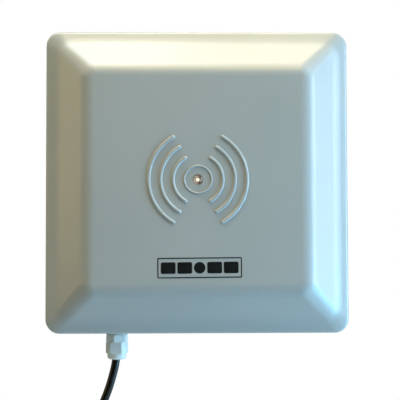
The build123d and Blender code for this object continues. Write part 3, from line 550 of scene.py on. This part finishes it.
def clear_selection() -> None:
    """Leaves edit mode and deselects everything."""
    if bpy.context.object and bpy.context.object.mode != "OBJECT":
        bpy.ops.object.mode_set(mode="OBJECT")
    bpy.ops.object.select_all(action="DESELECT")


def settle(piece: bpy.types.Object, name: str, finish: Finish, body: str = READER) -> None:
    """Names a new piece, puts its place into its mesh, dresses it and makes it ride.

    Args:
        piece: The piece, wherever it was modelled.
        name: Its name.
        finish: Its finish.
        body: The CAD body that it moves with.
    """
    clear_selection()
    piece.select_set(True)
    bpy.context.view_layer.objects.active = piece
    bpy.ops.object.transform_apply(location=True, rotation=True, scale=True)
    bpy.ops.object.mode_set(mode="EDIT")
    bpy.ops.mesh.select_all(action="SELECT")
    bpy.ops.mesh.normals_make_consistent(inside=False)
    bpy.ops.object.mode_set(mode="OBJECT")
    bpy.ops.object.shade_smooth_by_angle(angle=SMOOTH_UNDER)
    piece.name = name
    piece.data.materials.clear()
    piece.data.materials.append(finish.build())
    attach(piece, body)
    LOG.info("piece %s", name)


def pick(piece: bpy.types.Object, test: Callable[[bpy.types.MeshPolygon], bool]) -> None:
    """Selects a piece's faces that pass a test, in edit mode afterwards.

    Args:
        piece: The active piece, in object mode.
        test: Says whether a face is wanted.
    """
    bpy.ops.object.mode_set(mode="EDIT")
    bpy.ops.mesh.select_mode(type="FACE")
    bpy.ops.mesh.select_all(action="DESELECT")
    bpy.ops.object.mode_set(mode="OBJECT")
    for face in piece.data.polygons:
        face.select = test(face)
    bpy.ops.object.mode_set(mode="EDIT")


def soften(node: str, width_mm: float, segments: int = 2) -> None:
    """Rounds a CAD node's sharp edges a little with modifiers, leaving its mesh as it is.

    Args:
        node: The CAD node's name.
        width_mm: The radius in millimetres.
        segments: How many faces the round has.
    """
    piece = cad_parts[node]
    weld = piece.modifiers.new("weld", "WELD")
    weld.merge_threshold = WELD_REACH
    bevel = piece.modifiers.new("edge", "BEVEL")
    bevel.width = width_mm * MM
    bevel.segments = segments
    bevel.limit_method = "ANGLE"
    bevel.angle_limit = SHARP_OVER
    bevel.use_clamp_overlap = True
    bevel.harden_normals = False


class LampTint(Enum):
    """The gels on the softboxes, as sRGB hex."""

    WARM = "ffe496"
    IVORY = "fff0cc"
    DAYLIGHT = "c4e2ff"
    SKY = "66d0ff"
    WHITE = "ffffff"


@dataclass(frozen=True)
class Softbox:
    """One square soft lamp, turned towards the panel's middle.

    Attributes:
        name: The lamp's name.
        tilt: Degrees from straight in front of the panel, 90 being beside it.
        turn: Degrees round the panel's axis, 0 to its right and 90 above it.
        power: Its power in watts.
        tint: The gel on it.
        size: The length of its side in metres.
        distance: How far it stands from the panel, in metres.
    """

    name: str
    tilt: float
    turn: float
    power: float
    tint: LampTint
    size: float = 0.6
    distance: float = 1.3

    def build(self, target: Vector) -> None:
        """Adds the lamp.

        Args:
            target: The point that it is turned towards.
        """
        tilt, turn = math.radians(self.tilt), math.radians(self.turn)
        away = Vector(
            (math.sin(tilt) * math.cos(turn), -math.cos(tilt), math.sin(tilt) * math.sin(turn))
        )
        data = bpy.data.lights.new(self.name, "AREA")
        data.size = self.size
        data.energy = self.power
        data.color = srgb(self.tint.value)[:3]
        lamp = bpy.data.objects.new(self.name, data)
        lamp.location = target + away * self.distance
        lamp.rotation_euler = away.to_track_quat("Z", "Y").to_euler()
        bpy.context.scene.collection.objects.link(lamp)


SOFTBOXES = (
    Softbox("lamp_top_front", 60, 85, 6.0, LampTint.WARM),
    Softbox("lamp_top", 75, 105, 8.0, LampTint.IVORY),
    Softbox("lamp_over", 90, 85, 8.0, LampTint.IVORY),
    Softbox("lamp_over_left", 90, 105, 6.0, LampTint.DAYLIGHT),
    Softbox("lamp_up_right", 60, 40, 3.0, LampTint.SKY),
    Softbox("lamp_right_high", 75, 20, 6.0, LampTint.DAYLIGHT),
    Softbox("lamp_right", 75, 0, 7.0, LampTint.DAYLIGHT),
    Softbox("lamp_right_side", 90, 0, 3.0, LampTint.IVORY),
    Softbox("lamp_right_low", 80, -20, 3.0, LampTint.SKY, size=0.3, distance=0.7),
    Softbox("lamp_left", 90, 170, 2.0, LampTint.WARM),
    Softbox("lamp_behind_high", 150, 70, 4.5, LampTint.WHITE),
    Softbox("lamp_behind", 175, 0, 3.0, LampTint.WHITE),
)


@dataclass
class Studio:
    """Camera, floor, lamps and the white surroundings.

    Attributes:
        face: How far the panel's flat face lies along Y, in metres.
        distance: From that face to the camera.
        aside: How far the camera stands to the left of the panel's middle.
        below: How far it stands below the panel's middle.
        yaw: Its turn to the right, in degrees.
        pitch: Its turn upwards, in degrees.
        roll: Its roll to the left, in degrees.
        lens: Its focal length in millimetres.
        sensor: The width of its sensor in millimetres.
        sight: How far it sees, in metres.
        floor_drop: How far the floor lies below the object.
        floor_side: The length of the floor's side, which stays short of the camera's lowest ray.
        floor_glow: How strongly the floor glows to the camera, and to nothing else.
        surround: How strongly the surroundings light the object, zero for not at all.
    """

    face: float = -0.139
    distance: float = 0.850
    aside: float = 0.0182
    below: float = 0.0593
    yaw: float = 1.33
    pitch: float = 2.95
    roll: float = -0.15
    lens: float = 102.0
    sensor: float = 36.0
    sight: float = 50.0
    floor_drop: float = 0.25
    floor_side: float = 4.8
    floor_glow: float = 0.6
    surround: float = 0.0

    def build(self) -> None:
        """Builds the whole studio."""
        low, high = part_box("radome")
        middle = Vector(((low[0] + high[0]) / 2, self.face, (low[2] + high[2]) / 2))
        self.place_camera(middle)
        for lamp in SOFTBOXES:
            lamp.build(middle)
        self.lay_floor()
        self.surroundings()
        bpy.context.scene.view_settings.view_transform = "Standard"
        LOG.info("studio: camera, %d lamps, floor", len(SOFTBOXES))

    def place_camera(self, middle: Vector) -> None:
        """Stands the camera a little left of the panel and below it, turned towards it.

        Args:
            middle: The middle of the panel's face.
        """
        data = bpy.data.cameras.new("camera")
        data.lens = self.lens
        data.sensor_width = self.sensor
        data.clip_end = self.sight
        camera = bpy.data.objects.new("camera", data)
        camera.location = middle + Vector((-self.aside, -self.distance, -self.below))
        turn = Euler((math.radians(90 + self.pitch), 0.0, math.radians(-self.yaw)), "XYZ").to_matrix()
        roll = Matrix.Rotation(math.radians(self.roll), 3, "Z")
        camera.rotation_euler = (turn @ roll).to_euler()
        bpy.context.scene.collection.objects.link(camera)
        bpy.context.scene.camera = camera

    def lay_floor(self) -> None:
        """Lays a pale floor under the object, with a glow that only the camera sees."""
        level = CAD_BOX[0][2] - self.floor_drop
        clear_selection()
        bpy.ops.mesh.primitive_plane_add(size=self.floor_side, location=(0.0, 0.0, level))
        floor = bpy.context.object
        floor.name = "floor"
        material = FLOOR_ACRYLIC.build()
        tree = material.node_tree
        shader = next(node for node in tree.nodes if node.type == "BSDF_PRINCIPLED")
        path = add_node(tree, "LightPath")
        glow = add_node(tree, "Math", {1: self.floor_glow}, {0: path.outputs[0]}, operation="MULTIPLY")
        tree.links.new(glow.outputs[0], shader.inputs["Emission Strength"])
        shader.inputs["Emission Color"].default_value = srgb("ffffff")
        floor.data.materials.append(material)

    def surroundings(self) -> None:
        """Adds surroundings that are white to the camera and dark to the object."""
        world = bpy.data.worlds.new("surroundings")
        world.use_nodes = True
        tree = world.node_tree
        tree.nodes.clear()
        path = add_node(tree, "LightPath")
        strength = add_node(
            tree, "Mix", links={0: path.outputs["Is Camera Ray"]}, values={2: self.surround, 3: 1.0}
        )
        sky = add_node(
            tree,
            "Background",
            values={"Color": (1.0, 1.0, 1.0, 1.0)},
            links={"Strength": strength.outputs[0]},
        )
        add_node(tree, "OutputWorld", links={"Surface": sky.outputs[0]})
        bpy.context.scene.world = world


@dataclass
class HangingLead:
    """The black lead: out of the gland, into a tied coil, and a free end with bare cores.

    Attributes:
        diameter: The jacket's outside.
        route: The lead's points down to the coil's left side.
        tail: The free end's points from the coil's left side.
        coil_radius: Of the outermost turn.
        pitch: The distance between turns.
        turns: How many turns the coil has, half of them in each column.
        shift: How far the rear column lies behind the front one.
        steps: Points in each turn.
        length: The lead's whole length; not used.
        core_radius: Of one core over its insulation.
        tip_radius: Of a core's tinned end.
        core_runs: Each core's points, in millimetres: how far beyond the jacket, how far out from
            its middle, and the share of the core's own lean.
        core_lean: How much further out each core leans, in millimetres.
        tip_reaches: Each tip's points, in millimetres beyond its core's end.
    """

    diameter: float = 0.0062
    route: tuple[tuple[float, float, float], ...] = (
        (-0.0626, -0.1000, -0.1280),
        (-0.0626, -0.1000, -0.1345),
        (-0.0649, -0.1000, -0.1473),
        (-0.0709, -0.1000, -0.1666),
        (-0.0806, -0.1000, -0.1860),
        (-0.0874, -0.1000, -0.2086),
        (-0.0890, -0.1000, -0.2300),
    )
    tail: tuple[tuple[float, float, float], ...] = (
        (-0.0890, -0.0936, -0.2300),
        (-0.0893, -0.0936, -0.2480),
        (-0.0870, -0.0940, -0.2660),
    )
    coil_radius: float = 0.0464
    pitch: float = 0.0064
    turns: int = 6
    shift: float = 0.0064
    steps: int = 20
    length: float = 1.53
    core_radius: float = 0.00065
    tip_radius: float = 0.0003
    core_runs: tuple[tuple[float, float, float], ...] = (
        (-2.0, 1.5, 0.0),
        (3.0, 1.5, 0.0),
        (9.0, 2.0, 1.0),
        (15.0, 3.2, 1.0),
        (20.0, 4.4, 0.0),
    )
    core_lean: tuple[float, ...] = (0.3, -0.2, 0.1, 0.35, -0.1, 0.2)
    tip_reaches: tuple[float, ...] = (-1.0, 3.0, 6.0)

    def coil_points(self) -> list[tuple[float, float, float]]:
        """Works out the coil's turns: inwards in the front column, then outwards in the rear one.

        Returns:
            The coil's points.
        """
        x, y, z = self.route[-1]
        # The line passes beside a ring of points at this share of their radius.
        pull = (3 + math.cos(math.tau / self.steps)) / 4
        points = []
        for step in range(1, self.turns * self.steps):
            turn = step / self.steps
            inwards = min(turn, self.turns - turn)
            radius = (self.coil_radius - self.pitch * inwards) / pull
            cross = min(max(turn - self.turns / 2 + 0.5, 0.0), 1.0)
            back = self.shift * cross * cross * (3 - 2 * cross)
            angle = math.pi + math.tau * turn
            points.append(
                (
                    x + self.coil_radius + radius * math.cos(angle),
                    y + back,
                    z + radius * math.sin(angle),
                )
            )
        return points

    def build(self) -> None:
        data = bpy.data.curves.new("lead", "CURVE")
        data.dimensions = "3D"
        data.bevel_depth = self.diameter / 2
        data.bevel_resolution = 6
        data.resolution_u = 8
        data.use_fill_caps = True
        points = [*self.route, *self.coil_points(), *self.tail]
        spline = data.splines.new("NURBS")
        spline.points.add(len(points) - 1)
        for spot, point in zip(spline.points, points):
            spot.co = (*point, 1.0)
        spline.order_u = 3
        spline.use_endpoint_u = True
        lead = bpy.data.objects.new("lead", data)
        bpy.context.scene.collection.objects.link(lead)
        data.materials.append(CABLE_PVC.build())
        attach(lead, READER)
        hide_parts("data_cable", "cable_coil", "cable_tail")
        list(self.strip_end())
        LOG.info("lead: %d points, %d cores", len(points), len(CoreColour))

    def strip_end(self) -> list[bpy.types.Object]:
        """Builds the stripped cores and their tinned tips at the free end.

        Returns:
            The cores, each in its colour, and the tips.
        """
        before, end = (Vector(point) for point in self.tail[-2:])
        along = (end - before).normalized()
        side = along.cross(Vector((0.0, 1.0, 0.0))).normalized()
        pieces = []
        for index, (core, lean) in enumerate(zip(CoreColour, self.core_lean)):
            turn = math.tau * index / len(CoreColour)
            out = (Matrix.Rotation(turn, 3, along) @ side).normalized()
            points = [
                end + (along * reach + out * (spread + lean * share)) * MM
                for reach, spread, share in self.core_runs
            ]
            name = core.name.lower()
            wire = self.strand(f"core_{name}", points, self.core_radius)
            settle(wire, f"core_{name}", core_finish(name, *core.value))
            onward = (points[-1] - points[-2]).normalized()
            tip = self.strand(
                f"tip_{name}",
                [points[-1] + onward * reach * MM for reach in self.tip_reaches],
                self.tip_radius,
            )
            settle(tip, f"tip_{name}", TINNED_STRANDS)
            pieces += [wire, tip]
        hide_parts("wire_tails")
        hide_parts("wire_tips")
        return pieces

    def strand(self, name: str, points: list[Vector], radius: float) -> bpy.types.Object:
        """Makes one round wire along points.

        Args:
            name: The wire's name.
            points: The control points of its middle line.
            radius: Its radius.

        Returns:
            The wire as a mesh.
        """
        data = bpy.data.curves.new(name, "CURVE")
        data.dimensions = "3D"
        data.bevel_depth = radius
        data.bevel_resolution = 4
        data.use_fill_caps = True
        spline = data.splines.new("NURBS")
        spline.points.add(len(points) - 1)
        for spot, point in zip(spline.points, points):
            spot.co = (*point, 1.0)
        spline.order_u = 3
        spline.use_endpoint_u = True
        wire = bpy.data.objects.new(name, data)
        bpy.context.scene.collection.objects.link(wire)
        clear_selection()
        wire.select_set(True)
        bpy.context.view_layer.objects.active = wire
        bpy.ops.object.convert(target="MESH")
        return bpy.context.object


@dataclass
class Indicator:
    """What shows through the clear indicator: its lead frame, cup and seat.

    Attributes:
        base: Where the indicator's back lies along Y, in metres.
        centre: Its middle along X and Z.
        cup_radius: The reflector cup's rim.
        cup_foot: The cup's radius at its foot.
        cup_height: The cup's height.
        cup_rise: From the indicator's base to the cup's foot.
        cup_hollow: The hollow's depth as a share of the cup's height.
        cup_floor: The hollow's floor as a share of its mouth.
        cup_sides: How many sides the cup has.
        wall: The cup's wall.
        post_foot: From the indicator's base to the post's foot.
        post_size: The post's width and thickness.
        post_edge: From the post's edges to its wing.
        post_wing: How far the wing stands out.
        anvil_place: How far the other leg stands aside of the middle, and in front of the base.
        anvil_size: The other leg's width, length and thickness.
        head_move: How the other leg's head is drawn out, towards the cup and forwards.
        head_spread: How its head is scaled along each axis.
        head_rim: The rim's width and the dish's depth in its head.
        seat_radius: The disc's radius.
        seat_thickness: Its thickness.
        seat_rise: Its middle above the indicator's base.
        seat_rings: Each ring's width and how far it steps, forwards and then back.
        seat_sides: How many sides the disc has.
    """

    base: float = 0.0
    centre: tuple[float, float] = (0.0, 0.0)
    cup_radius: float = 0.85 * MM
    cup_foot: float = 0.45 * MM
    cup_height: float = 0.9 * MM
    cup_rise: float = 4.9 * MM
    cup_hollow: float = 0.7
    cup_floor: float = 0.5
    cup_sides: int = 40
    wall: float = 0.1 * MM
    post_foot: float = 0.4 * MM
    post_size: tuple[float, float] = (0.9 * MM, 0.6 * MM)
    post_edge: float = 0.12 * MM
    post_wing: float = 0.5 * MM
    anvil_place: tuple[float, float] = (2.2 * MM, 2.6 * MM)
    anvil_size: tuple[float, float, float] = (1.0 * MM, 4.4 * MM, 1.4 * MM)
    head_move: tuple[float, float, float] = (-0.15 * MM, -0.8 * MM, 0.3 * MM)
    head_spread: tuple[float, float, float] = (0.75, 1.0, 1.5)
    head_rim: float = 0.15 * MM
    seat_radius: float = 3.7 * MM
    seat_thickness: float = 0.25 * MM
    seat_rise: float = 0.35 * MM
    seat_rings: tuple[tuple[float, float], ...] = ((0.9 * MM, 0.35 * MM), (0.7 * MM, -0.4 * MM))
    seat_sides: int = 48

    def build(self) -> None:
        """Builds every part inside the indicator."""
        low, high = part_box("status_led")
        self.base = high[1]
        self.centre = ((low[0] + high[0]) / 2, (low[2] + high[2]) / 2)
        self.cup()
        self.post()
        self.anvil()
        self.seat()
        LOG.info("indicator: cup, post, anvil and seat")

    def at(self, side: float, up: float, rise: float) -> tuple[float, float, float]:
        """Gives a point by its sideways, upwards and forward distance from the indicator's base."""
        return (self.centre[0] + side, self.base - rise, self.centre[1] + up)

    def cup(self) -> None:
        """Builds the stamped cup of the lead frame."""
        clear_selection()
        bpy.ops.mesh.primitive_cone_add(
            vertices=self.cup_sides,
            radius1=self.cup_foot,
            radius2=self.cup_radius,
            depth=self.cup_height,
            end_fill_type="NGON",
            location=self.at(0, 0, self.cup_rise + self.cup_height / 2),
            rotation=(math.radians(90), 0, 0),
        )
        piece = bpy.context.object
        bpy.ops.object.transform_apply(location=True, rotation=True, scale=True)
        pick(piece, lambda face: face.normal.y < -SQUARE_ON)
        bpy.ops.mesh.inset(thickness=self.wall)
        bpy.ops.mesh.extrude_region_move(
            TRANSFORM_OT_translate={"value": (0, self.cup_height * self.cup_hollow, 0)}
        )
        bpy.ops.transform.resize(value=(self.cup_floor, 1, self.cup_floor))
        settle(piece, "indicator_cup", CUP_SILVER)

    def post(self) -> None:
        """Builds the leg that carries the cup."""
        clear_selection()
        width, thickness = self.post_size
        height = self.cup_rise - self.post_foot
        bpy.ops.mesh.primitive_cube_add(
            size=1, location=self.at(0, 0, self.post_foot + height / 2), scale=(width, height, thickness)
        )
        piece = bpy.context.object
        bpy.ops.object.transform_apply(location=True, rotation=True, scale=True)
        pick(piece, lambda face: face.normal.x < -SQUARE_ON)
        bpy.ops.mesh.inset(thickness=self.post_edge)
        bpy.ops.mesh.extrude_region_move(TRANSFORM_OT_translate={"value": (-self.post_wing, 0, 0)})
        settle(piece, "indicator_post", LEAD_FRAME)

    def anvil(self) -> None:
        """Builds the other leg, with its broad head beside the cup."""
        clear_selection()
        aside, rise = self.anvil_place
        bpy.ops.mesh.primitive_cube_add(size=1, location=self.at(aside, 0, rise), scale=self.anvil_size)
        piece = bpy.context.object
        bpy.ops.object.transform_apply(location=True, rotation=True, scale=True)
        pick(piece, lambda face: face.normal.y < -SQUARE_ON)
        bpy.ops.mesh.extrude_region_move(TRANSFORM_OT_translate={"value": self.head_move})
        bpy.ops.transform.resize(value=self.head_spread)
        bpy.ops.mesh.inset(thickness=self.head_rim)
        bpy.ops.mesh.extrude_region_move(TRANSFORM_OT_translate={"value": (0, self.head_rim, 0)})
        settle(piece, "indicator_anvil", LEAD_FRAME)

    def seat(self) -> None:
        """Builds the disc that closes the indicator's foot, in the lead frame's silver with its painted
        light and shade.
        """
        clear_selection()
        bpy.ops.mesh.primitive_cylinder_add(
            vertices=self.seat_sides,
            radius=self.seat_radius,
            depth=self.seat_thickness,
            location=self.at(0, 0, self.seat_rise),
            rotation=(math.radians(90), 0, 0),
        )
        piece = bpy.context.object
        bpy.ops.object.transform_apply(location=True, rotation=True, scale=True)
        pick(piece, lambda face: face.normal.y < -SQUARE_ON)
        for width, step in self.seat_rings:
            bpy.ops.mesh.inset(thickness=width, depth=step)
        settle(piece, "indicator_seat", LEAD_FRAME)


# The radius, in millimetres, that moulding or forging leaves on the edges.
SOFT_EDGES: dict[str, float] = {
    "gland_body": 0.35,
    "gland_nut": 0.4,
    "gland_locknut": 0.3,
    "pan_bolt": 0.25,
    "pan_nut": 0.25,
    "tilt_bolt": 0.25,
    "tilt_nut": 0.25,
}


def dress_nodes() -> None:
    """Gives every CAD node its finish."""
    for finish, names in NODE_FINISHES.items():
        material = finish.build()
        for name in names:
            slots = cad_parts[name].material_slots
            for one in slots:
                one.material = material
        LOG.info("finish %s on %d nodes", finish.name, len(names))


def main() -> None:
    """Builds the studio and every sub-assembly in order."""
    Studio().build()
    HangingLead().build()
    Indicator().build()
    dress_nodes()
    for node, radius_mm in SOFT_EDGES.items():
        soften(node, radius_mm)
    LOG.info("edges rounded on %d nodes", len(SOFT_EDGES))


if __name__ == "__main__":
    main()
